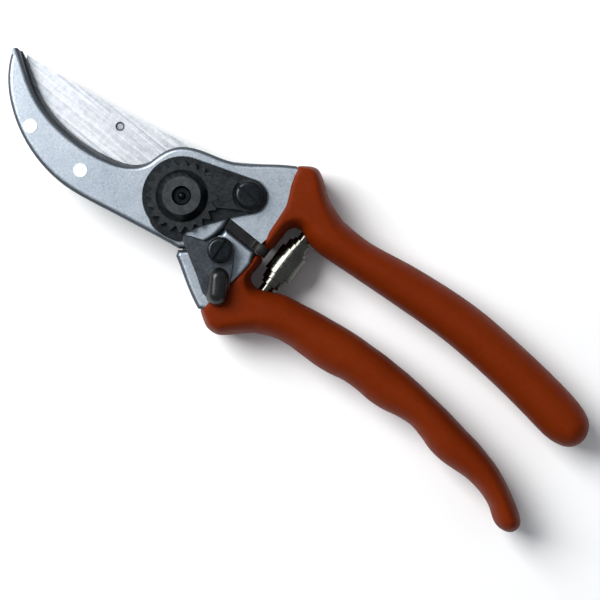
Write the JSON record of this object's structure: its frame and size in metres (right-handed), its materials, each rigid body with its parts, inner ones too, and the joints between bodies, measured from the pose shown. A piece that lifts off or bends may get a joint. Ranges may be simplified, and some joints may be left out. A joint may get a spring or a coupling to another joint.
{
  "type": "bypass pruning shears",
  "caption": "Closed bypass pruning shears: riveted hook jaw, ground cutting blade, toothed adjusting nut with segment, thumb catch, volute spring and coated grips.",
  "frame": {"origin": "centre of the pivot bolt head's flat back face, on the pivot axis, in the plane the shears rest on", "axes": "+Z along the pivot axis towards the side with the toothed nut, +X towards the tip of the jaw, +Y towards the back of the hook"},
  "size_m": [0.2163, 0.0608, 0.0255],
  "materials": {
    "forged_aluminium": "fine blasted and clear coated",
    "blade_steel": "ground and brushed",
    "dark_steel": "blackened steel, satin",
    "catch_steel": "grey phosphated steel",
    "bright_steel": "bright",
    "spring_steel": "bright drawn strip",
    "grip_coat": "soft satin dipped coat",
    "black_plastic": "satin moulded",
    "black_rubber": "matte"
  },
  "bodies": {
    "hook_side": {"hook_handle": "forged_aluminium", "hook_grip_cover": "grip_coat", "anvil_blade": "blade_steel", "anvil_rivets": "bright_steel", "centre_bolt": "dark_steel", "toothed_nut": "dark_steel", "lock_plate": "dark_steel", "toothed_segment": "dark_steel", "segment_screw": "dark_steel", "volute_spring": "spring_steel", "spring_peg_hook": "bright_steel", "rubber_buffer": "black_rubber"},
    "blade_side": {"blade_handle": "forged_aluminium", "blade_grip_cover": "grip_coat", "cutting_blade": "blade_steel", "blade_dowels": "bright_steel", "catch_screw": "dark_steel", "catch_spring_washer": "bright_steel", "spring_peg_blade": "bright_steel"},
    "catch_lever": {"thumb_catch": "catch_steel", "catch_thumb_pad": "black_plastic"}
  },
  "joints": [
    {"name": "main_pivot", "type": "hinge", "parent": "hook_side", "child": "blade_side", "pos_m": [0, 0, 0.0106], "axis": [0, 0, -1], "range_deg": [0, 40], "deforming": ["volute_spring"]},
    {"name": "catch_pivot", "type": "hinge", "parent": "blade_side", "child": "catch_lever", "pos_m": [-0.0197, 0.0056, 0.021], "axis": [0, 0, 1], "range_deg": [-3, 20]}
  ]
}
